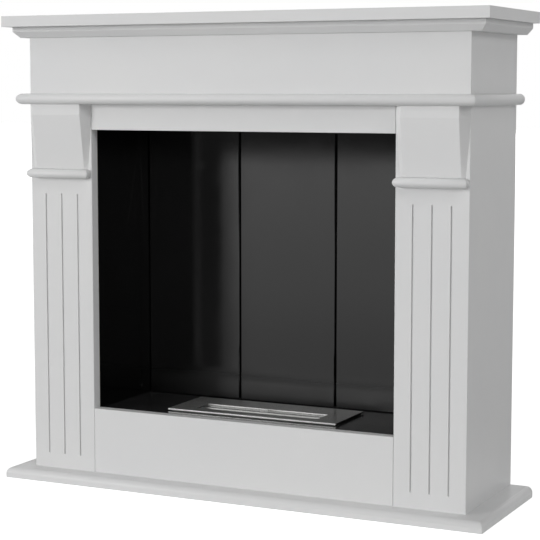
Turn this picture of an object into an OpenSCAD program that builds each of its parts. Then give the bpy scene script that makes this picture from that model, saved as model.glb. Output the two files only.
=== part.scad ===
// Floor-standing bioethanol fireplace: painted board surround, sheet steel firebox
// and a lift-out stainless burner whose shutter slides under the flame slot.
// Millimetres, +Z up, front towards -Y, origin on the floor under the middle of the base.

/* [Overall] */
// Height from the floor to the top of the slab
total_h = 970; // [900:1:1100]
// Width over the outer faces of the legs
body_w = 966; // [900:1:1100]
// Depth from the legs' front faces to the back
body_d = 273; // [260:1:340]
// Thickness of the legs, lintel, apron and outer side boards
board_t = 22; // [18:1:28]
// Width of a leg
leg_w = 148; // [130:1:170]
// Radius along the vertical edges of the outer boards
arris_r = 1.5; // [1:0.5:5]
// Open seam where two boards meet edge to edge
seam = 0.4; // [0.2:0.1:0.8]

/* [Base] */
// Thickness of the base board
base_t = 22; // [18:1:30]
// How far the base stands out past the legs in front
base_front = 43.5; // [30:0.5:60]
// How far the base stands out past each side
base_side = 46.5; // [30:0.5:60]
// Radius of the round-over along its upper edges
base_round_r = 12; // [6:1:16]

/* [Mantel] */
// Thickness of the mantel slab
slab_t = 22; // [18:1:30]
// How far the slab stands out in front
slab_front = 35.5; // [30:0.5:60]
// How far the slab stands out at each side
slab_side = 45.5; // [38:0.5:60]
// Thickness of the moulded board under the slab
cornice_t = 22; // [20:1:28]
// How far the moulded board stands out in front
cornice_front = 15.5; // [14:0.5:28]
// How far the moulded board stands out at each side
cornice_side = 32; // [24:0.5:36]
// Depth of its chamfer, measured inwards
chamfer_in = 11.5; // [6:0.5:12]
// Height of its chamfer
chamfer_h = 12.3; // [6:0.1:14]
// Height of the frieze
frieze_h = 115; // [90:1:150]

/* [Band and corbels] */
// Thickness of the half-round band over the legs
band_t = 22; // [18:1:28]
// How far the band stands out in front
band_front = 28.5; // [24:0.5:34]
// How far the band stands out at each side
band_side = 17.5; // [15:0.5:30]
// Width of a corbel's flat front
corbel_w = 115; // [90:1:120]
// Height of a corbel, from the band down to its astragal
corbel_h = 133.5; // [100:0.5:160]
// Upright part of a corbel, under the band
corbel_head_h = 22; // [15:1:50]
// How far a corbel stands out at its head
corbel_out_top = 18.9; // [14:0.1:22]
// How far a corbel stands out at its foot
corbel_out_foot = 3.4; // [2:0.1:8]
// Width of a corbel's bevel at its foot
corbel_bevel_foot = 8; // [4:0.5:12]
// Thickness of the half-round astragal
astragal_t = 19; // [14:1:24]
// How far the astragal stands out
astragal_out = 19.4; // [15:0.1:26]
// How far the astragal's ends stay inside the leg's edges
astragal_end_inset = 0.8; // [0.5:0.1:4]

/* [Leg grooves] */
// Width of a groove
groove_w = 3.2; // [2:0.1:6]
// Depth of a groove
groove_deep = 2.4; // [1:0.1:5]
// Spacing of the three grooves
groove_pitch = 38.5; // [30:0.5:42]
// Height of the grooves' lower ends over the base
groove_foot = 31; // [15:1:60]
// Distance from the grooves' upper ends to the astragal
groove_head = 32; // [15:1:60]

/* [Opening] */
// Height of the lintel over the opening
lintel_h = 52; // [36:1:80]
// Height of the apron under it
apron_h = 135; // [120:1:150]

/* [Inside of the surround] */
// Thickness of the inner boards
inner_t = 16; // [12:1:19]
// Section of the glue blocks and cleats
block_w = 24; // [18:1:30]
// Thickness of the rear cover
cover_t = 1.5; // [1:0.5:3]
// How far the rear cover lies inside the back edges
cover_inset = 5; // [4:0.5:10]
// Width of an air slot in the rear cover
vent_w = 8; // [5:1:12]
// Height of an air slot
vent_h = 60; // [40:1:80]
// Spacing of the air slots
vent_pitch = 36; // [24:1:48]
// Number of air slots in a row
vent_count = 9; // [5:2:13]

/* [Firebox] */
// Sheet thickness
sheet_t = 1.5; // [1:0.1:2.5]
// Play between the firebox and the boards round it
fit = 0.3; // [0.2:0.1:0.8]
// How far the firebox floor lies under the apron's top edge
floor_drop = 1.7; // [0.5:0.1:5]
// Air space between the firebox and the rear cover
rear_gap = 25; // [15:1:35]
// Depth of the lining panels' folded edges
liner_fold = 8; // [5:0.5:12]
// Gap between two lining panels
liner_gap = 2.6; // [1:0.1:5]
// Gap under the lining panels
liner_foot_gap = 2; // [1:0.5:5]
// Outer bend radius of the folded sheets
bend_r = 2.2; // [1.6:0.1:3]
// Height of the ceiling over the opening's top edge
ceiling_rise = 13; // [8:1:20]

/* [Burner] */
// Length of the burner's top plate
plate_w = 380; // [340:1:420]
// Depth of the top plate
plate_d = 145; // [140:1:160]
// Thickness of the top plate
plate_t = 3; // [2:0.1:4]
// How far the tank's flange lies inside the plate's edges
flange_inset = 5; // [3:0.5:8]
// Thickness of the tank's flange
flange_t = 2.2; // [1.5:0.1:4]
// Width of the flange outside the tank's walls
flange_w = 9; // [7:0.5:10]
// Thickness of the tank's walls
tank_wall = 1.5; // [1:0.1:2]
// Depth of the tank under the firebox floor
tank_depth = 60; // [45:1:75]
// Play between the tank and its cut-out
tank_play = 2; // [1:0.5:3]
// Length of the flame slot
slot_w = 276; // [220:1:290]
// Depth of the flame slot, front to back
slot_d = 51.5; // [40:0.5:54]
// How far the slot's middle lies in front of the plate's middle
slot_forward = 18; // [14:0.5:19]
// Height of the fibre pad
pad_h = 34; // [20:1:38]

/* [Shutter] */
// Thickness of the shutter and its rails
shutter_t = 1.5; // [1:0.1:2]
// How far the shutter laps under the slot's ends
shutter_lap_x = 8; // [6:0.5:10]
// How far the closed shutter laps under the slot's front and rear edges
shutter_lap_y = 2.2; // [1.5:0.1:2.5]
// How far the shutter stands open at rest, from its front edge to the slot's
shutter_open = 34; // [28:1:36]
// Height of its folded front edge
shutter_lip_h = 5.5; // [4:0.5:7]
// Angle at which the folded edge leans forward from upright, in degrees
shutter_lip_lean = 16; // [5:1:20]
// Outer radius of the fold
shutter_bend_r = 2.2; // [1.8:0.1:3]
// Running gap round the shutter
shutter_gap = 0.3; // [0.2:0.05:0.4]
// Width of the lug
lug_w = 18; // [10:1:26]
// Thickness of the lug, front to back
lug_t = 4; // [2:0.5:5]
// Distance from the shutter's front edge to the lug
lug_back = 3.2; // [3:0.1:5]

/* [Hidden] */
$fn = 48;
eps = 1;

// Depths: the base is the deepest piece, so it sets the origin
base_d = body_d + base_front;
y_back = base_d / 2;
y_face = y_back - body_d;
y_inner = y_face + board_t;

// Heights
z_slab = total_h - slab_t;
z_cornice = z_slab - cornice_t;
z_band_top = z_cornice - frieze_h;
z_band = z_band_top - band_t;
z_apron = base_t + apron_h;
z_lintel = z_band - lintel_h;
z_astragal = z_band - corbel_h - astragal_t / 2;

// Legs, with the opening between them
opening_w = body_w - 2 * leg_w;
leg_x = opening_w / 2 + leg_w / 2;
leg_h = z_band - base_t;

// Corbels: overhang, bevel width and levels by the distance s under the band
corbel_steps = 8;
function corbel_out(s) = s <= corbel_head_h ? corbel_out_top
    : corbel_out_top + (corbel_out_foot - corbel_out_top)
      * (s - corbel_head_h) / (corbel_h - corbel_head_h);
corbel_bevel_top = (leg_w - corbel_w) / 2;
function corbel_bevel(s) = s <= corbel_head_h ? corbel_bevel_top
    : corbel_bevel_top + (corbel_bevel_foot - corbel_bevel_top)
      * (s - corbel_head_h) / (corbel_h - corbel_head_h);
corbel_levels = concat([0], [for (i = [0:corbel_steps])
    corbel_head_h + i * (corbel_h - corbel_head_h) / corbel_steps]);

// Inner boards
cheek_x = opening_w / 2 + fit;
cover_y = y_back - cover_inset - cover_t;
side_in_x = body_w / 2 - board_t;

// Firebox
z_floor = z_apron - floor_drop;
z_shelf = z_floor - sheet_t - inner_t;
box_front = y_inner + fit;
back_y = cover_y - rear_gap - sheet_t;
liner_y = back_y - liner_fold;
box_in_x = opening_w / 2 - sheet_t;
z_ceiling = z_lintel + ceiling_rise;
liner_w = (2 * box_in_x - 2 * liner_gap - 2 * fit) / 3;

// Burner, a little behind the middle of the cavity's depth
burner_set_back = 0.5;
burner_y = (y_inner + liner_y) / 2 + burner_set_back;
z_flange = z_floor + flange_t;
z_plate = z_flange + plate_t;
flange_x = plate_w / 2 - flange_inset;
flange_y = plate_d / 2 - flange_inset;
tank_x = flange_x - flange_w;
tank_y = flange_y - flange_w;
z_tank = z_floor - tank_depth;
slot_y = burner_y - slot_forward;
slot_front = slot_y - slot_d / 2;
slot_rear = slot_y + slot_d / 2;

// Shutter: its rails' feet stay clear of the slot's ends
slot_margin = 2;
stop_gap = 0.5;
lip_gap = 1;
fold_steps = 8;
z_shutter = z_flange - shutter_gap;
shutter_x = slot_w / 2 + shutter_lap_x;
shutter_d = slot_d + 2 * shutter_lap_y;
shutter_front = slot_front + shutter_open;
rail_foot = shutter_lap_x - slot_margin;

// Screws
screw_r = 2.4;
head_r = 4.6;
head_h = 2.6;
hole_play = 0.1;
socket_share = 0.6;
confirmat_r = 3.2;
confirmat_head_r = 5;
confirmat_head_h = 3;
head_cover = 1;
screw_sink = confirmat_head_h + head_cover;
confirmat_bite = 34;
band_bite = 40;
band_screw_in = 60;
slab_bite = 15;
cover_bite = 22;
wall_bite = 12;
tank_corner_r = 6;
pad_play = 1.5;
stud_r = 2.5;
stud_h = 4.2;
stud_dome_r = 4;
stud_clear = 1.5;
stud_from_rear = 19.5;
base_screw_in = 35;
base_screw_y = [y_inner + base_screw_in, (y_inner + y_back) / 2, y_back - base_screw_in];
cheek_screw_y = [y_inner + base_screw_in, cover_y - base_screw_in];
slab_screw_in = 50;
slab_screw_y = [y_inner + slab_screw_in, y_back - slab_screw_in];
slab_screw_x = [-1, 0, 1] * (body_w / 2 - 2 * slab_screw_in);
cover_screw_in = 38;
cover_screw_pitch = (leg_h - 2 * cover_screw_in) / 3;
cover_screw_z = [for (i = [0:3]) base_t + cover_screw_in + i * cover_screw_pitch];
wall_screw_in = 40;
wall_screw_y = liner_y - wall_screw_in;
wall_screw_z = [z_floor + wall_screw_in / 2, z_ceiling - wall_screw_in];
shelf_set_back = 4;
shelf_cut_play = tank_play + shelf_set_back;
vent_in = 30;

paint = [0.90, 0.90, 0.89];
raw_board = [0.72, 0.60, 0.44];
black_steel = [0.10, 0.10, 0.11];
stainless = [0.72, 0.72, 0.70];
zinc = [0.62, 0.63, 0.65];
fibre = [0.93, 0.92, 0.87];

// Block between two corners
module block(low, high) {
    translate(low) cube(high - low);
}

// A section drawn in Y and Z, run along X over the length w about the middle
module run_x(w) {
    translate([-w / 2, 0, 0])
        rotate([90, 0, 90])
            linear_extrude(w) children();
}

// A section drawn in X and Z, run along Y from y0 to y1
module run_y(y0, y1) {
    translate([0, y1, 0])
        rotate([90, 0, 0])
            linear_extrude(y1 - y0) children();
}

// Bar of section x0..x1 by z0..z1 with a half-round end at one or both ends
module half_round(x0, x1, z0, t, both) {
    r = t / 2;
    translate([x0 + r, z0]) square([x1 - x0 - (both ? 2 * r : r), t]);
    translate([x0 + r, z0 + r]) circle(r);
    if (both) translate([x1 - r, z0 + r]) circle(r);
}

// Rectangle x0..x1 by 0..h whose upper corners are rounded, the first one or both
module round_top(x0, x1, h, r, both) {
    difference() {
        translate([x0, 0]) square([x1 - x0, h]);
        translate([x0 - eps, h - r]) difference() {
            square([r + eps, r + eps]);
            translate([r + eps, 0]) circle(r);
        }
        if (both) translate([x1 - r, h - r]) difference() {
            square([r + eps, r + eps]);
            circle(r);
        }
    }
}

// Upright board with rounded front edges, drawn in plan; left and right pick the edges
module front_board(x0, x1, z0, z1, left, right) {
    r = arris_r;
    translate([0, 0, z0]) linear_extrude(z1 - z0) difference() {
        translate([x0, y_face]) square([x1 - x0, board_t]);
        if (left) translate([x0 - eps, y_face - eps]) difference() {
            square([r + eps, r + eps]);
            translate([r + eps, r + eps]) circle(r);
        }
        if (right) translate([x1 - r, y_face - eps]) difference() {
            square([r + eps, r + eps]);
            translate([0, r + eps]) circle(r);
        }
    }
}

// Slot with round ends, standing upright in X and Z, sunk along Y from y0 to y1
module upright_slot(w, z0, z1, y0, y1) {
    translate([0, y1, 0]) rotate([90, 0, 0]) linear_extrude(y1 - y0) {
        translate([-w / 2, z0 + w / 2]) square([w, z1 - z0 - w]);
        translate([0, z0 + w / 2]) circle(w / 2);
        translate([0, z1 - w / 2]) circle(w / 2);
    }
}

// Screw whose head's underside is at the origin and whose shank runs along +Z;
// its head has a hexagon socket
module screw(len, r = screw_r, hr = head_r, hh = head_h) {
    cylinder(h = len, r = r);
    translate([0, 0, -hh]) difference() {
        cylinder(h = hh, r = hr);
        translate([0, 0, -eps])
            cylinder(h = socket_share * hh + eps, r = socket_share * hr, $fn = 6);
    }
}

module base_plinth() {
    color(paint) difference() {
        intersection() {
            run_x(body_w + 2 * base_side)
                round_top(y_face - base_front, y_back, base_t, base_round_r, false);
            run_y(y_face - base_front, y_back)
                round_top(-body_w / 2 - base_side, body_w / 2 + base_side, base_t, base_round_r, true);
        }
        base_screw_places() {
            translate([0, 0, -eps]) cylinder(h = base_t + 2 * eps, r = confirmat_r + hole_play);
            translate([0, 0, -eps])
                cylinder(h = screw_sink + eps, r = confirmat_head_r + hole_play);
        }
    }
}

module top_slab() {
    color(paint) difference() {
        block([-body_w / 2 - slab_side, y_face - slab_front, z_slab],
              [body_w / 2 + slab_side, y_back, total_h]);
        slab_screw_places() cylinder(h = cornice_t + slab_bite + eps, r = screw_r + hole_play);
    }
}

// Section of the moulded board: upright above, chamfered below, at its first end or both
module cornice_section(x0, x1, both) {
    polygon(concat(
        [[x0, z_slab], [x0, z_cornice + chamfer_h], [x0 + chamfer_in, z_cornice]],
        both ? [[x1 - chamfer_in, z_cornice], [x1, z_cornice + chamfer_h]] : [[x1, z_cornice]],
        [[x1, z_slab]]));
}

module cornice_board() {
    color(paint) difference() {
        intersection() {
            run_x(body_w + 2 * cornice_side)
                cornice_section(y_face - cornice_front, y_back, false);
            run_y(y_face - cornice_front, y_back)
                cornice_section(-body_w / 2 - cornice_side, body_w / 2 + cornice_side, true);
        }
        slab_screw_places() translate([0, 0, -eps])
            cylinder(h = cornice_t + 2 * eps, r = screw_r + hole_play);
    }
}

module frieze_front() {
    color(paint) front_board(-body_w / 2, body_w / 2, z_band_top, z_cornice, true, true);
}

module frieze_side() {
    color(paint) block([side_in_x, y_inner, z_band_top], [body_w / 2, y_back, z_cornice]);
}

module frieze_side_left() {
    mirror([1, 0, 0]) frieze_side();
}

module frieze_side_right() {
    frieze_side();
}

module frieze_rear() {
    color(raw_board) block([-side_in_x, y_back - inner_t, z_band_top], [side_in_x, y_back, z_cornice]);
}

module frieze_blocks() {
    color(raw_board) for (s = [-1, 1]) for (y = [y_inner, y_back - inner_t - block_w])
        translate([s * (side_in_x - block_w / 2), y + block_w / 2, (z_band_top + z_cornice) / 2])
            cube([block_w, block_w, frieze_h], center = true);
}

module band_board() {
    color(paint) difference() {
        intersection() {
            run_x(body_w + 2 * band_side)
                half_round(y_face - band_front, y_back, z_band, band_t, false);
            run_y(y_face - band_front, y_back)
                half_round(-body_w / 2 - band_side, body_w / 2 + band_side, z_band, band_t, true);
        }
        band_screw_places() {
            translate([0, 0, -band_t - eps])
                cylinder(h = band_t + 2 * eps, r = confirmat_r + hole_play);
            translate([0, 0, -screw_sink])
                cylinder(h = screw_sink + eps, r = confirmat_head_r + hole_play);
        }
    }
}

module pilaster() {
    color(paint) difference() {
        front_board(opening_w / 2, body_w / 2, base_t, z_band, true, true);
        for (i = [-1:1]) translate([leg_x + i * groove_pitch, 0, 0])
            upright_slot(groove_w, base_t + groove_foot,
                         z_astragal - astragal_t / 2 - groove_head,
                         y_face - eps, y_face + groove_deep);
    }
}

module pilaster_left() {
    mirror([1, 0, 0]) pilaster();
}

module pilaster_right() {
    pilaster();
}

// Corbel: an upright head, then a straight taper; its sides are bevels that grow with
// the overhang, so each is a ruled face between the front edge and the leg's face
module corbel() {
    n = len(corbel_levels);
    points = [for (s = corbel_levels) each [
        [-corbel_w / 2 - corbel_bevel(s), 0, -s],
        [-corbel_w / 2, -corbel_out(s), -s],
        [corbel_w / 2, -corbel_out(s), -s],
        [corbel_w / 2 + corbel_bevel(s), 0, -s]]];
    sides = [for (i = [0:n - 2]) for (k = [0:3]) each [
        [4 * i + k, 4 * (i + 1) + (k + 1) % 4, 4 * (i + 1) + k],
        [4 * i + k, 4 * i + (k + 1) % 4, 4 * (i + 1) + (k + 1) % 4]]];
    color(paint) translate([leg_x, y_face, z_band])
        polyhedron(points, concat(sides, [[3, 2, 1, 0]],
            [[4 * n - 4, 4 * n - 3, 4 * n - 2, 4 * n - 1]]));
}

module corbel_left() {
    mirror([1, 0, 0]) corbel();
}

module corbel_right() {
    corbel();
}

// Half-round moulding returned round both ends
module astragal() {
    z0 = z_astragal - astragal_t / 2;
    color(paint) intersection() {
        translate([leg_x, 0, 0]) run_x(leg_w)
            half_round(y_face - astragal_out, y_face, z0, astragal_t, false);
        run_y(y_face - astragal_out - eps, y_face)
            half_round(opening_w / 2 + astragal_end_inset, body_w / 2 - astragal_end_inset,
                       z0, astragal_t, true);
    }
}

module astragal_left() {
    mirror([1, 0, 0]) astragal();
}

module astragal_right() {
    astragal();
}

module lintel() {
    color(paint) block([-opening_w / 2 + seam, y_face, z_lintel], [opening_w / 2 - seam, y_inner, z_band]);
}

module apron() {
    color(paint) block([-opening_w / 2 + seam, y_face, base_t], [opening_w / 2 - seam, y_inner, z_apron]);
}

module side_panel() {
    color(paint) difference() {
        block([side_in_x, y_inner, base_t], [body_w / 2, y_back, z_band]);
        base_screw_places() cylinder(h = base_t + confirmat_bite + eps, r = confirmat_r + hole_play);
        band_screw_places() translate([0, 0, -band_t - band_bite - eps])
            cylinder(h = band_t + band_bite + eps, r = confirmat_r + hole_play);
    }
}

module side_panel_left() {
    mirror([1, 0, 0]) side_panel();
}

module side_panel_right() {
    side_panel();
}

// Glue blocks in the corners behind the legs
module leg_blocks() {
    color(raw_board) for (s = [-1, 1]) for (x = [side_in_x - block_w / 2, cheek_x + inner_t + block_w / 2])
        translate([s * x, y_inner + block_w / 2, base_t + leg_h / 2])
            cube([block_w, block_w, leg_h], center = true);
}

// Cleats that hold the apron and the lintel to the cheeks
module front_cleats() {
    low = z_shelf - base_t;
    high = z_band - z_ceiling - sheet_t;
    color(raw_board) for (s = [-1, 1]) {
        translate([s * (cheek_x - block_w / 2), y_inner + block_w / 2, base_t + low / 2])
            cube([block_w, block_w, low], center = true);
        translate([s * (cheek_x - block_w / 2), y_inner + block_w / 2, z_band - high / 2])
            cube([block_w, block_w, high], center = true);
    }
}

module cheek() {
    color(raw_board) difference() {
        block([cheek_x, y_inner, base_t], [cheek_x + inner_t, cover_y, z_band]);
        base_screw_places() cylinder(h = base_t + confirmat_bite + eps, r = confirmat_r + hole_play);
        cover_screw_places() cylinder(h = cover_bite + cover_t + eps, r = screw_r + hole_play);
        wall_screw_places() cylinder(h = wall_bite + eps, r = screw_r + hole_play);
    }
}

module cheek_left() {
    mirror([1, 0, 0]) cheek();
}

module cheek_right() {
    cheek();
}

module shelf_cleats() {
    y0 = y_inner + block_w;
    color(raw_board) for (s = [-1, 1])
        translate([s * (cheek_x - block_w / 2), (y0 + back_y) / 2, z_shelf - block_w / 2])
            cube([block_w, back_y - y0, block_w], center = true);
}

module firebox_shelf() {
    color(raw_board) difference() {
        block([-cheek_x, y_inner, z_shelf], [cheek_x, back_y + sheet_t, z_floor - sheet_t]);
        tank_cut(shelf_cut_play);
    }
}

// Cut-out for the burner's tank, with play all round
module tank_cut(play) {
    block([-tank_x - play, burner_y - tank_y - play, z_shelf - eps],
          [tank_x + play, burner_y + tank_y + play, z_floor + eps]);
}

module rear_cover() {
    first = -(vent_count - 1) / 2;
    color(black_steel) difference() {
        block([-side_in_x, cover_y, base_t], [side_in_x, cover_y + cover_t, z_band]);
        for (i = [0:vent_count - 1]) for (z = [base_t + vent_in, z_band - vent_in - vent_h])
            translate([(first + i) * vent_pitch, 0, 0])
                upright_slot(vent_w, z, z + vent_h, cover_y - eps, cover_y + cover_t + eps);
        cover_screw_places() translate([0, 0, -eps])
            cylinder(h = cover_t + 2 * eps, r = screw_r + hole_play);
    }
}

// Screws through the base, up into the side panels and cheeks
module base_screw_places() {
    for (s = [-1, 1]) {
        for (y = base_screw_y) translate([s * (body_w / 2 - board_t / 2), y, 0]) children();
        for (y = cheek_screw_y) translate([s * (cheek_x + inner_t / 2), y, 0]) children();
    }
}

module base_screws() {
    color(zinc) base_screw_places() translate([0, 0, screw_sink])
        screw(base_t - screw_sink + confirmat_bite, confirmat_r, confirmat_head_r, confirmat_head_h);
}

// Screws down through the band board into the side panels
module band_screw_places() {
    for (s = [-1, 1]) for (y = [y_inner + band_screw_in, y_back - band_screw_in])
        translate([s * (body_w / 2 - board_t / 2), y, z_band_top]) children();
}

module band_screws() {
    color(zinc) band_screw_places() translate([0, 0, -screw_sink]) mirror([0, 0, 1])
        screw(band_t - screw_sink + band_bite, confirmat_r, confirmat_head_r, confirmat_head_h);
}

// Screws up through the moulded board into the slab, from inside the frieze box
module slab_screw_places() {
    for (x = slab_screw_x) for (y = slab_screw_y) translate([x, y, z_cornice]) children();
}

module slab_screws() {
    color(zinc) slab_screw_places() screw(cornice_t + slab_bite);
}

// Screws through the rear cover into the cheeks' rear edges; +Z points to the front
module cover_screw_places() {
    for (s = [-1, 1]) for (z = cover_screw_z)
        translate([s * (cheek_x + inner_t / 2), cover_y + cover_t, z]) rotate([90, 0, 0]) children();
}

module rear_cover_screws() {
    color(zinc) cover_screw_places() screw(cover_t + cover_bite);
}

// Screws from the cavity through the firebox walls into the cheeks; +Z points outwards
module wall_screw_places() {
    for (s = [-1, 1]) for (z = wall_screw_z)
        translate([s * box_in_x, wall_screw_y, z]) rotate([0, s * 90, 0]) children();
}

module firebox_screws() {
    color(black_steel) wall_screw_places() screw(wall_bite);
}

module firebox_floor() {
    color(black_steel) difference() {
        block([-box_in_x, box_front, z_floor - sheet_t], [box_in_x, back_y, z_floor]);
        tank_cut(tank_play);
    }
}

module firebox_wall() {
    color(black_steel) difference() {
        block([box_in_x, box_front, z_floor - sheet_t], [opening_w / 2, back_y, z_ceiling + sheet_t]);
        wall_screw_places() translate([0, 0, -eps])
            cylinder(h = sheet_t + 2 * eps, r = screw_r + hole_play);
    }
}

module firebox_wall_left() {
    mirror([1, 0, 0]) firebox_wall();
}

module firebox_wall_right() {
    firebox_wall();
}

module firebox_back() {
    color(black_steel) block([-opening_w / 2, back_y, z_floor - sheet_t],
                             [opening_w / 2, back_y + sheet_t, z_ceiling + sheet_t]);
}

module firebox_ceiling() {
    color(black_steel) block([-box_in_x, box_front, z_ceiling], [box_in_x, back_y, z_ceiling + sheet_t]);
}

// Rectangle x0..x1 by y0..y1 in plan whose two front corners are rounded
module bent_plan(x0, x1, y0, y1, r) {
    translate([x0, y0 + r]) square([x1 - x0, y1 - y0 - r]);
    translate([x0 + r, y0]) square([x1 - x0 - 2 * r, r + eps]);
    for (x = [x0 + r, x1 - r]) translate([x, y0 + r]) circle(r);
}

// Lining panel: a sheet whose upright edges are folded back to the firebox's rear wall
module liner(i) {
    x0 = (i - 0.5) * liner_w + i * liner_gap;
    x1 = x0 + liner_w;
    z0 = z_floor + liner_foot_gap;
    color(black_steel) translate([0, 0, z0]) linear_extrude(z_ceiling - z0) difference() {
        bent_plan(x0, x1, liner_y, back_y, bend_r);
        bent_plan(x0 + sheet_t, x1 - sheet_t, liner_y + sheet_t, back_y + eps, bend_r - sheet_t);
    }
}

module liner_left() {
    liner(-1);
}

module liner_middle() {
    liner(0);
}

module liner_right() {
    liner(1);
}

// Domed studs on the firebox floor, beside the plate's ends
module locating_studs() {
    color(stainless) for (s = [-1, 1])
        translate([s * (plate_w / 2 + stud_clear + stud_r), burner_y + plate_d / 2 - stud_from_rear, z_floor])
            intersection() {
                cylinder(h = stud_h, r = stud_r);
                translate([0, 0, stud_h - stud_dome_r]) sphere(stud_dome_r);
            }
}

// Rectangle of half sizes x and y with rounded corners, in plan
module rounded_plan(x, y, r) {
    square([2 * x - 2 * r, 2 * y], center = true);
    square([2 * x, 2 * y - 2 * r], center = true);
    for (sx = [-1, 1]) for (sy = [-1, 1]) translate([sx * (x - r), sy * (y - r)]) circle(r);
}

module burner_tank() {
    r = tank_corner_r;
    color(stainless) translate([0, burner_y, 0]) difference() {
        union() {
            translate([0, 0, z_tank]) linear_extrude(z_floor - z_tank) rounded_plan(tank_x, tank_y, r);
            translate([0, 0, z_floor]) linear_extrude(flange_t)
                square([2 * flange_x, 2 * flange_y], center = true);
        }
        translate([0, 0, z_tank + tank_wall]) linear_extrude(tank_depth + flange_t)
            rounded_plan(tank_x - tank_wall, tank_y - tank_wall, r - tank_wall);
    }
}

module burner_plate() {
    color(stainless) difference() {
        block([-plate_w / 2, burner_y - plate_d / 2, z_flange], [plate_w / 2, burner_y + plate_d / 2, z_plate]);
        block([-slot_w / 2, slot_front, z_flange - eps], [slot_w / 2, slot_rear, z_plate + eps]);
    }
}

// Angle under the plate that carries one end of the shutter
module rail() {
    foot_z = z_shutter - shutter_t - shutter_gap;
    web_x = shutter_x + shutter_gap;
    y0 = slot_front - 2 * shutter_lap_y;
    y1 = burner_y + tank_y - tank_wall - stop_gap;
    color(stainless) {
        block([web_x, y0, foot_z - shutter_t], [web_x + shutter_t, y1, z_flange]);
        block([shutter_x - rail_foot, y0, foot_z - shutter_t], [web_x + shutter_t / 2, y1, foot_z]);
    }
}

module rail_left() {
    mirror([1, 0, 0]) rail();
}

module rail_right() {
    rail();
}

module fibre_pad() {
    x = tank_x - tank_wall - pad_play;
    y = tank_y - tank_wall - pad_play;
    color(fibre) translate([0, burner_y, z_tank + tank_wall]) linear_extrude(pad_h)
        rounded_plan(x, y, tank_corner_r);
}

// Section through the shutter's fold, from its leaning foot to where the plate is flat;
// the origin lies in the plate's top face, over the fold's front
module fold_section() {
    a = shutter_lip_lean;
    r = shutter_bend_r;
    face = (shutter_lip_h - r + r * sin(a)) / cos(a);
    angles = [for (i = [0:fold_steps]) 90 + i * (90 - a) / fold_steps];
    function arc(q, b) = [r + q * cos(b), -r + q * sin(b)];
    function foot(q) = arc(q, 180 - a) - face * [sin(a), cos(a)];
    polygon(concat([[r + eps, 0]], [for (b = angles) arc(r, b)], [foot(r), foot(r - shutter_t)],
        [for (i = [fold_steps:-1:0]) arc(r - shutter_t, angles[i])], [[r + eps, -shutter_t]]));
}

// Sliding plate with a front edge folded down between the rails
module shutter() {
    lip_x = shutter_x - rail_foot - lip_gap;
    color(stainless) {
        block([-shutter_x, shutter_front + shutter_bend_r, z_shutter - shutter_t],
              [shutter_x, shutter_front + shutter_d, z_shutter]);
        translate([0, shutter_front, z_shutter]) rotate([90, 0, 90])
            linear_extrude(2 * lip_x, center = true) fold_section();
    }
}

module shutter_lug() {
    y0 = shutter_front + lug_back;
    color(stainless) block([-lug_w / 2, y0, z_shutter], [lug_w / 2, y0 + lug_t, z_plate]);
}

base_plinth();
top_slab();
cornice_board();
frieze_front();
frieze_side_left();
frieze_side_right();
frieze_rear();
frieze_blocks();
band_board();
pilaster_left();
pilaster_right();
corbel_left();
corbel_right();
astragal_left();
astragal_right();
lintel();
apron();
side_panel_left();
side_panel_right();
leg_blocks();
front_cleats();
cheek_left();
cheek_right();
shelf_cleats();
firebox_shelf();
rear_cover();
rear_cover_screws();
base_screws();
band_screws();
slab_screws();
firebox_floor();
firebox_wall_left();
firebox_wall_right();
firebox_back();
firebox_ceiling();
liner_left();
liner_middle();
liner_right();
firebox_screws();
locating_studs();
burner_tank();
burner_plate();
rail_left();
rail_right();
fibre_pad();
shutter();
shutter_lug();
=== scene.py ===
"""Looks of a floor-standing bioethanol fireplace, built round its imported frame.

Metres, in the frame's own axes: +Z up, front towards -Y, origin on the floor under the base.
"""

import math

import bmesh
import bpy
from mathutils import Euler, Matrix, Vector
from mathutils import noise as fractal


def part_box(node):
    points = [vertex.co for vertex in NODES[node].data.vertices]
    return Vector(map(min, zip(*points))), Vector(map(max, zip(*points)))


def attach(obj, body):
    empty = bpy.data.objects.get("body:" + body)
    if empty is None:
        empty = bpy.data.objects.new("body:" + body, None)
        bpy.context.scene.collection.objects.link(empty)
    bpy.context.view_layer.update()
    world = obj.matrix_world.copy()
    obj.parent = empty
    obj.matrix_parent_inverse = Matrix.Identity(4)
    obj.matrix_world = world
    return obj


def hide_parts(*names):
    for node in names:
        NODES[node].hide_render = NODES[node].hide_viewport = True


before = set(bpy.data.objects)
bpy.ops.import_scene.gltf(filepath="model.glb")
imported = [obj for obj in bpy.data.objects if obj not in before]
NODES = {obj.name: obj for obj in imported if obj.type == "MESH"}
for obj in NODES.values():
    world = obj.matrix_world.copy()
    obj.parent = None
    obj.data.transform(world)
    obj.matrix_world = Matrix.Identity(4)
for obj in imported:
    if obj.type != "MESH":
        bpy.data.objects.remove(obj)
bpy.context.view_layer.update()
WHITE = (1.0, 1.0, 1.0, 1.0)

# Camera, solved from the photograph's straight edges
PHOTO_PIXELS = 540
FOCAL_PIXELS = 1677.9
SENSOR_MM = 36.0
CAMERA_PLACE = (1.5023, -3.0620, 0.8199)
CAMERA_YAW = 25.88
CAMERA_PITCH = -6.15

# Light: each source's share of the brightness that makes a white surface white.
# A lamp's place is its angle left of the front and above the floor, round a target. Next come
# its share, and whether reflections show it.
WORLD_SHARE = 0.13
LAMPS = {
    "left": (46.0, 10.0, 0.61, True),
    "right": (-65.0, 25.0, 0.198, True),
    "top": (-45.0, 50.0, 0.13, True),
    "back": (170.0, 12.0, 0.32, False),
}
LAMP_DISTANCE = 28.0
LAMP_SIZE = 10.0
LAMP_TARGET = (0.0, 0.0, 0.5)

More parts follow.
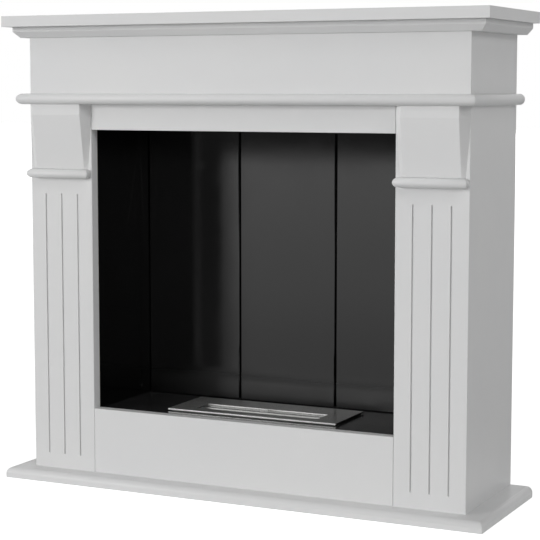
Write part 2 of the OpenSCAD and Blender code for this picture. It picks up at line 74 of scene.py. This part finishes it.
# Floor: the camera sees a glow that makes it white, and reflections see a weaker one.
# Each point is a distance from the object's middle and the strength there.
FLOOR_SIZE = 60.0
FLOOR_COLOUR = (0.82, 0.82, 0.82, 1.0)
SEEN = ((4.0, 0.78), (12.0, 1.0))
MIRRORED = ((0.75, 0.70), (1.05, 0.50), (2.0, 0.58), (3.1, 0.79), (4.8, 0.83), (8.0, 0.98))
# Share of the mirrored glow behind the object, and the places in Y between which it falls to it
BEHIND = 0.25
BEHIND_RANGE = (0.2, 0.6)

# Upright cards that only reflections see: place in Y, lowest and highest corner in X and Z,
# brightness
CARDS = {
    "card_near": (-0.3, (-2.5, 0.0), (-0.362, 1.3), 0.125),
    "card_left": (-0.9, (-2.5, 0.0), (-0.667, 1.3), 0.11),
    "card_top": (-0.9, (-0.667, 0.636), (1.2, 1.3), 0.2),
}

# Tones of the finishes, darkest and lightest, and their ranges of roughness
PAINT_TONES = ((0.735, 0.737, 0.740), (0.750, 0.750, 0.748))
PAINT_GLOSS = (0.36, 0.46)
PAINT_SPECULAR = 0.15
BOARD_TONES = ((0.30, 0.19, 0.105), (0.47, 0.33, 0.20))
BOARD_GLOSS = 0.85
ZINC_TONES = ((0.52, 0.53, 0.56), (0.64, 0.64, 0.62))
ZINC_GLOSS = (0.28, 0.42)
WOOL_TONES = ((0.58, 0.56, 0.52), (0.80, 0.79, 0.76))
WOOL_GLOSS = 0.95
STEEL_TONES = {
    "stainless": ((0.74, 0.74, 0.73), (0.84, 0.84, 0.83)),
    "stud_steel": ((0.16, 0.16, 0.16), (0.24, 0.24, 0.235)),
    "tank_steel": ((0.10, 0.10, 0.10), (0.16, 0.16, 0.155)),
    "plate_steel": ((0.62, 0.62, 0.61), (0.70, 0.70, 0.69)),
    # The shutter's tone is a darker copy of the plate's steel: painted shade
    "shutter_steel_shaded": ((0.37, 0.37, 0.365), (0.42, 0.42, 0.41)),
}
STEEL_GLOSS = (0.26, 0.31)
# The burner plate's cut ends, darkened as painted shade, and its front and rear edges,
# lightened as a painted highlight: axis that they face, tone
PLATE_PAINTED_EDGES = (("X", (0.12, 0.12, 0.12)), ("Y", (0.88, 0.88, 0.87)))
# Share of a normal along an axis between which a face turns into such a painted edge
PAINTED_EDGE_FACING = (0.5, 0.9)

# Black lacquer: grey, refraction and roughness, where a sheet has none of its own
LACQUER_GREY = 0.0016
LACQUER_IOR = 1.5
LACQUER_GLOSS = (0.12, 0.15)
LACQUER_GRAIN = 0.0000015
WALL_IOR = 1.25
FIREBOX_FLOOR = {"grey": 0.024, "sheen": 5.0, "rough": (0.22, 0.27)}
# Lower band of the liners: heights between which it fades out, roughness added, the grey of
# the painted light that lightens it, and the height over which a painted shade darkens its foot
FOOT_LIGHT_HEIGHTS = (0.194, 0.226)
LINER_FOOT_LIGHT = (*FOOT_LIGHT_HEIGHTS, 0.24, 0.014)
LEFT_LINER_FOOT_LIGHT = (*FOOT_LIGHT_HEIGHTS, 0.25, 0.004)
# The left liner's lacquer grey, lighter than the other liners': painted light
LEFT_LINER_LIT_GREY = 0.006
FOOT_SHADE_HEIGHT = 0.03

# Width of the softened edge of each finish, and of nodes that differ from theirs
EDGE_WIDTH = {
    "painted_board": 0.0009,
    "raw_board": 0.0006,
    "black_sheet": 0.0004,
    "stainless": 0.00025,
    "zinc_screw": 0.00025,
    "ceramic_wool": 0.0015,
}
NODE_EDGE_WIDTH = {"burner_plate": 0.0004}
EDGE_ANGLE = math.radians(35)
EDGE_SEGMENTS = 2
WELD_DISTANCE = 0.00001

# Ceramic wool: grid step, corner radius, depth and size of its clumps and of its fibres, and
# the slope under which it lies flat on the tank
WOOL_STEP = 0.003
WOOL_CORNER = 0.008
WOOL_RELIEF = ((0.0030, 0.018), (0.0010, 0.006))
WOOL_UNDERSIDE = -0.5

# Range that a noise takes, and the sockets of a colour Mix node
NOISE_RANGE = (0.3, 0.7)
MIX_FACTOR, MIX_FIRST, MIX_SECOND, MIX_RESULT = 0, 6, 7, 2


class Graph:
    """A node tree under construction: adds nodes and links them in one call."""

    def __init__(self, tree):
        self.tree = tree
        tree.nodes.clear()

    def add(self, kind, links=None, **values):
        """Adds a node, sets its properties, and links or sets the inputs that links names."""
        node = self.tree.nodes.new(kind)
        for name, value in values.items():
            setattr(node, name, value)
        for name, source in (links or {}).items():
            if isinstance(source, bpy.types.NodeSocket):
                self.tree.links.new(source, node.inputs[name])
            else:
                node.inputs[name].default_value = source
        return node


def new_material(name):
    """A material with an empty node tree, and the graph that fills it."""
    material = bpy.data.materials.new(name)
    material.use_nodes = True
    return material, Graph(material.node_tree)


def compute(graph, operation, *values):
    """A Math node over sockets or numbers."""
    return graph.add("ShaderNodeMath", dict(enumerate(values)), operation=operation).outputs[0]


def remap(graph, value, low, high, span=NOISE_RANGE):
    """Spreads a value from its span over low..high."""
    return graph.add(
        "ShaderNodeMapRange",
        {"Value": value, "From Min": span[0], "From Max": span[1], "To Min": low, "To Max": high},
    ).outputs["Result"]


def mix_colours(graph, factor, first, second):
    """Mixes two colours by a factor, each a socket or its red, green and blue."""
    first, second = (
        end if isinstance(end, bpy.types.NodeSocket) else (*end, 1.0) for end in (first, second)
    )
    return graph.add(
        "ShaderNodeMix",
        {MIX_FACTOR: factor, MIX_FIRST: first, MIX_SECOND: second},
        data_type="RGBA",
    ).outputs[MIX_RESULT]


def axes(graph, vector):
    """The X, Y and Z of a vector."""
    return graph.add("ShaderNodeSeparateXYZ", {"Vector": vector}).outputs


def own_place(graph):
    """The place on the object, in metres."""
    return graph.add("ShaderNodeTexCoord").outputs["Object"]


def noise(graph, scale, stretch=(1.0, 1.0, 1.0), detail=2.0, roughness=0.5):
    """Noise over the object's own metres, scale in features per metre."""
    mapping = graph.add("ShaderNodeMapping", {"Vector": own_place(graph), "Scale": stretch})
    return graph.add(
        "ShaderNodeTexNoise",
        {
            "Vector": mapping.outputs["Vector"],
            "Scale": scale,
            "Detail": detail,
            "Roughness": roughness,
        },
    ).outputs["Fac"]


def bump(graph, height, depth, under=None):
    """A bump of that depth in metres, over another one where it is given."""
    links = {"Height": height, "Distance": depth, "Strength": 1.0}
    if under is not None:
        links["Normal"] = under
    return graph.add("ShaderNodeBump", links).outputs["Normal"]


def principled(graph, links):
    """The principled surface at the end of a graph."""
    shader = graph.add("ShaderNodeBsdfPrincipled", links)
    graph.add("ShaderNodeOutputMaterial", {"Surface": shader.outputs["BSDF"]})


def make_paint():
    """White satin lacquer on board: a faint orange peel and slow changes of tone."""
    material, graph = new_material("painted_board")
    tone = remap(graph, noise(graph, scale=5.0, detail=3.0), 0.0, 1.0)
    peel = bump(graph, noise(graph, scale=520.0, detail=1.0), depth=0.00003)
    waves = bump(graph, noise(graph, scale=34.0, detail=1.0), depth=0.00022, under=peel)
    principled(
        graph,
        {
            "Base Color": mix_colours(graph, tone, *PAINT_TONES),
            "Roughness": remap(graph, noise(graph, scale=26.0, detail=3.0), *PAINT_GLOSS),
            "Specular IOR Level": PAINT_SPECULAR,
            "Normal": waves,
        },
    )
    return material


def make_raw_board():
    """Raw fibreboard: pressed brown fibres with light and dark flecks."""
    material, graph = new_material("raw_board")
    flecks = remap(graph, noise(graph, scale=900.0, detail=4.0, roughness=0.7), 0.0, 1.0)
    principled(
        graph,
        {
            "Base Color": mix_colours(graph, flecks, *BOARD_TONES),
            "Roughness": BOARD_GLOSS,
            "Normal": bump(graph, noise(graph, scale=700.0, detail=3.0), depth=0.00012),
        },
    )
    return material


def make_black_sheet(name, grey=LACQUER_GREY, ior=LACQUER_IOR, sheen=None, foot_light=None,
                     rough=LACQUER_GLOSS):
    """Sheet steel with a smooth black lacquer; sheen sets its extra gloss at flat angles.

    rough is its range of roughness. foot_light is (low, high, roughness, grey): below low the
    lacquer has that roughness added and is lightened to that grey as painted light, above high it
    is as new, and a painted shade darkens it again under low, towards the foot.
    """
    material, graph = new_material(name)
    tone = remap(graph, noise(graph, scale=9.0, detail=2.0), 0.0, 1.0)
    dark, light = 0.75 * grey, 1.25 * grey
    colour = mix_colours(graph, tone, (dark, dark, dark), (light, light, 1.03 * light))
    gloss = remap(graph, noise(graph, scale=14.0, detail=3.0), *rough)
    # Lower band: added roughness, a lighter grey that is painted light, and a painted shade at
    # the foot
    if foot_light is not None:
        low, high, added, painted_light_grey = foot_light
        height = axes(graph, own_place(graph))["Z"]
        foot_share = remap(graph, height, 1.0, 0.0, span=(low, high))
        gloss = compute(graph, "MULTIPLY_ADD", foot_share, added, gloss)
        painted_foot_grey = remap(graph, height, 0.0, painted_light_grey, span=(low - FOOT_SHADE_HEIGHT, low))
        colour = mix_colours(graph, foot_share, colour, painted_foot_grey)
    grain = bump(graph, noise(graph, scale=850.0, detail=2.0), depth=LACQUER_GRAIN)
    share = graph.add("ShaderNodeFresnel", {"IOR": ior}).outputs["Fac"]
    if sheen is not None:
        facing = graph.add("ShaderNodeLayerWeight", {"Blend": 0.5}).outputs["Facing"]
        share = compute(graph, "MAXIMUM", share, compute(graph, "POWER", facing, sheen))
    body = graph.add("ShaderNodeBsdfDiffuse", {"Color": colour, "Normal": grain})
    shine = graph.add(
        "ShaderNodeBsdfAnisotropic",
        {"Color": WHITE, "Roughness": gloss, "Normal": grain},
        distribution="BECKMANN",
    )
    mix = graph.add(
        "ShaderNodeMixShader", {0: share, 1: body.outputs["BSDF"], 2: shine.outputs["BSDF"]}
    )
    graph.add("ShaderNodeOutputMaterial", {"Surface": mix.outputs["Shader"]})
    return material


def make_steel(name, edges=()):
    """Bare sheet steel, brushed along X.

    edges are faces painted another tone by the way they face, as shade or highlight: each the
    axis that they face and that tone.
    """
    material, graph = new_material(name)
    brushing = noise(graph, scale=60.0, stretch=(0.3, 30.0, 30.0), detail=6.0, roughness=0.75)
    colour = mix_colours(graph, remap(graph, brushing, 0.0, 1.0), *STEEL_TONES[name])
    facing = axes(graph, graph.add("ShaderNodeTexCoord").outputs["Normal"])
    # Faces turned along an axis get a painted shade or a painted highlight
    for axis, painted_edge_tone in edges:
        along = compute(graph, "ABSOLUTE", facing[axis])
        share = remap(graph, along, 0.0, 1.0, span=PAINTED_EDGE_FACING)
        colour = mix_colours(graph, share, colour, painted_edge_tone)
    along_x = graph.add("ShaderNodeCombineXYZ", {"X": 1.0})
    principled(
        graph,
        {
            "Base Color": colour,
            "Metallic": 0.9,
            "Roughness": remap(graph, brushing, *STEEL_GLOSS),
            "Normal": bump(graph, brushing, depth=0.000005),
            "Anisotropic": 0.5,
            "Anisotropic Rotation": 0.25,
            "Tangent": along_x.outputs["Vector"],
        },
    )
    return material


def make_zinc():
    """Zinc-plated screw steel."""
    material, graph = new_material("zinc_screw")
    tone = remap(graph, noise(graph, scale=400.0, detail=3.0), 0.0, 1.0)
    principled(
        graph,
        {
            "Base Color": mix_colours(graph, tone, *ZINC_TONES),
            "Metallic": 1.0,
            "Roughness": remap(graph, noise(graph, scale=250.0), *ZINC_GLOSS),
        },
    )
    return material


def make_wool():
    """Ceramic wool: matt white fibre in soft clumps."""
    material, graph = new_material("ceramic_wool")
    tone = remap(graph, noise(graph, scale=120.0, detail=5.0, roughness=0.7), 0.0, 1.0)
    threads = noise(graph, scale=700.0, stretch=(1.0, 0.25, 1.0), detail=4.0)
    fibres = bump(graph, threads, depth=0.0006)
    clumps = bump(graph, noise(graph, scale=90.0, detail=2.0), depth=0.0025, under=fibres)
    principled(
        graph,
        {
            "Base Color": mix_colours(graph, tone, *WOOL_TONES),
            "Roughness": WOOL_GLOSS,
            "Normal": clumps,
        },
    )
    return material


MATERIALS = {
    "painted_board": make_paint(),
    "raw_board": make_raw_board(),
    "black_sheet": make_black_sheet("black_sheet"),
    "stainless": make_steel("stainless"),
    "zinc_screw": make_zinc(),
    "ceramic_wool": make_wool(),
}

# Nodes that differ from the rest of their finish
WALL_FINISH = make_black_sheet("black_wall", ior=WALL_IOR)
LINER_FINISH = make_black_sheet("black_liner", foot_light=LINER_FOOT_LIGHT)
NODE_FINISH = {
    "liner_left": make_black_sheet(
        "black_liner_left", grey=LEFT_LINER_LIT_GREY, foot_light=LEFT_LINER_FOOT_LIGHT
    ),
    "liner_middle": LINER_FINISH,
    "liner_right": LINER_FINISH,
    "locating_studs": make_steel("stud_steel"),
    "firebox_floor": make_black_sheet("black_floor", **FIREBOX_FLOOR),
    "firebox_wall_left": WALL_FINISH,
    "firebox_wall_right": WALL_FINISH,
    "burner_tank": make_steel("tank_steel"),
    "burner_plate": make_steel("plate_steel", edges=PLATE_PAINTED_EDGES),
    "shutter": make_steel("shutter_steel_shaded"),
}


def soften_edges(obj, width):
    """Joins the node's faces and rounds its sharp edges, leaving its own mesh alone."""
    weld = obj.modifiers.new("weld", "WELD")
    weld.merge_threshold = WELD_DISTANCE
    bevel = obj.modifiers.new("bevel", "BEVEL")
    bevel.width = width
    bevel.segments = EDGE_SEGMENTS
    bevel.limit_method = "ANGLE"
    bevel.angle_limit = EDGE_ANGLE
    bevel.harden_normals = True
    bevel.use_clamp_overlap = True


def dress_nodes():
    """Gives every CAD node its finish and soft edges."""
    for name, obj in NODES.items():
        finish = obj.data.materials[0].name.split(".")[0]
        obj.data.materials[0] = NODE_FINISH.get(name, MATERIALS[finish])
        soften_edges(obj, NODE_EDGE_WIDTH.get(name, EDGE_WIDTH[finish]))


def link_object(name, data):
    """A new object of that data in the scene."""
    obj = bpy.data.objects.new(name, data)
    bpy.context.scene.collection.objects.link(obj)
    return obj


def make_wool_pad():
    """The wool in the tank: a block of fibre with soft edges and a clumped surface."""
    low, high = (Vector(corner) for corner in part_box("fibre_pad"))
    middle, half = (low + high) / 2, (high - low) / 2
    work = bmesh.new()
    bmesh.ops.create_cube(work, size=2.0)
    for axis in range(3):
        along = [edge for edge in work.edges
                 if abs(edge.verts[0].co[axis] - edge.verts[1].co[axis]) > 1.0]
        cuts = round(2 * half[axis] / WOOL_STEP) - 1
        bmesh.ops.subdivide_edges(work, edges=along, cuts=cuts, use_grid_fill=True)
    for vertex in work.verts:
        place = vertex.co * half
        core = Vector(max(-reach + WOOL_CORNER, min(reach - WOOL_CORNER, value))
                      for value, reach in zip(place, half))
        outward = (place - core).normalized()
        depth = sum(deep * (0.5 + 0.5 * fractal.noise(place / size))
                    for deep, size in WOOL_RELIEF)
        if outward.z < WOOL_UNDERSIDE:
            depth = 0.0
        vertex.co = middle + core + outward * (WOOL_CORNER - depth)
    mesh = bpy.data.meshes.new("wool_pad")
    work.to_mesh(mesh)
    work.free()
    mesh.shade_smooth()
    mesh.materials.append(MATERIALS["ceramic_wool"])
    pad = link_object("wool_pad", mesh)
    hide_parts("fibre_pad")
    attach(pad, "burner")


def make_world():
    """Soft even light, which camera, glossy and transmission rays see as plain white."""
    world = bpy.data.worlds.new("studio")
    bpy.context.scene.world = world
    world.use_nodes = True
    graph = Graph(world.node_tree)
    path = graph.add("ShaderNodeLightPath").outputs
    seen = compute(graph, "MAXIMUM", path["Is Camera Ray"], path["Is Glossy Ray"])
    seen = compute(graph, "MAXIMUM", seen, path["Is Transmission Ray"])
    strength = remap(graph, seen, WORLD_SHARE, 1.0, span=(0.0, 1.0))
    background = graph.add("ShaderNodeBackground", {"Color": WHITE, "Strength": strength})
    graph.add("ShaderNodeOutputWorld", {"Surface": background.outputs["Background"]})


def make_face(name, corners, material):
    """A single flat face of that material."""
    mesh = bpy.data.meshes.new(name)
    mesh.from_pydata(corners, [], [(0, 1, 2, 3)])
    mesh.materials.append(material)
    return link_object(name, mesh)


def glow_profile(graph, away, points):
    """Strength over a distance, along straight lines from point to point."""
    strength = points[0][1]
    for near, far in zip(points, points[1:]):
        step = remap(graph, away, 0.0, far[1] - near[1], span=(near[0], far[0]))
        strength = compute(graph, "ADD", step, strength)
    return strength


def make_floor():
    """Plain pale floor: it takes the object's shadow, and otherwise looks white."""
    material, graph = new_material("pale_floor")
    diffuse = graph.add("ShaderNodeBsdfDiffuse", {"Color": FLOOR_COLOUR})
    place = own_place(graph)
    away = graph.add("ShaderNodeVectorMath", {0: place}, operation="LENGTH").outputs["Value"]
    behind = remap(graph, axes(graph, place)["Y"], 1.0, BEHIND, span=BEHIND_RANGE)
    mirrored = compute(graph, "MULTIPLY", glow_profile(graph, away, MIRRORED), behind)
    path = graph.add("ShaderNodeLightPath").outputs
    glow = compute(graph, "MULTIPLY", mirrored, path["Is Glossy Ray"])
    seen = glow_profile(graph, away, SEEN)
    white = compute(graph, "MULTIPLY_ADD", path["Is Camera Ray"], seen, glow)
    emission = graph.add("ShaderNodeEmission", {"Strength": white})
    total = graph.add(
        "ShaderNodeAddShader", {0: diffuse.outputs["BSDF"], 1: emission.outputs["Emission"]}
    )
    graph.add("ShaderNodeOutputMaterial", {"Surface": total.outputs["Shader"]})
    half = FLOOR_SIZE / 2
    corners = [(-half, -half, 0), (half, -half, 0), (half, half, 0), (-half, half, 0)]
    make_face("floor", corners, material)


def make_card(name, y, low, high, brightness):
    """Upright card in front of the object that only glossy rays see."""
    material, graph = new_material(name)
    glow = graph.add("ShaderNodeEmission", {"Strength": brightness})
    graph.add("ShaderNodeOutputMaterial", {"Surface": glow.outputs["Emission"]})
    corners = [(x, y, z) for x, z in (low, (high[0], low[1]), high, (low[0], high[1]))]
    card = make_face(name, corners, material)
    card.visible_camera = False
    card.visible_diffuse = False
    card.visible_shadow = False


def make_lamp(name, left, up, share, mirrored):
    """Square area lamp that gives that share of full brightness at the target."""
    data = bpy.data.lights.new(name, "AREA")
    data.shape = "SQUARE"
    data.size = LAMP_SIZE
    data.energy = share * (math.pi * LAMP_DISTANCE) ** 2
    turn = Euler((math.radians(90.0 - up), 0.0, math.radians(-left)))
    lamp = link_object(name, data)
    lamp.location = Vector(LAMP_TARGET) + turn.to_matrix() @ Vector((0.0, 0.0, LAMP_DISTANCE))
    lamp.rotation_euler = turn
    lamp.visible_glossy = mirrored


def make_camera():
    """The photograph's camera."""
    data = bpy.data.cameras.new("camera")
    data.sensor_fit = "HORIZONTAL"
    data.sensor_width = SENSOR_MM
    data.lens = SENSOR_MM * FOCAL_PIXELS / PHOTO_PIXELS
    camera = link_object("camera", data)
    camera.location = CAMERA_PLACE
    camera.rotation_euler = (math.radians(90 + CAMERA_PITCH), 0.0, math.radians(CAMERA_YAW))
    bpy.context.scene.camera = camera


make_camera()
make_world()
make_floor()
for name, lamp in LAMPS.items():
    make_lamp(name, *lamp)
for name, card in CARDS.items():
    make_card(name, *card)
dress_nodes()
make_wool_pad()
bpy.context.scene.view_settings.view_transform = "Standard"
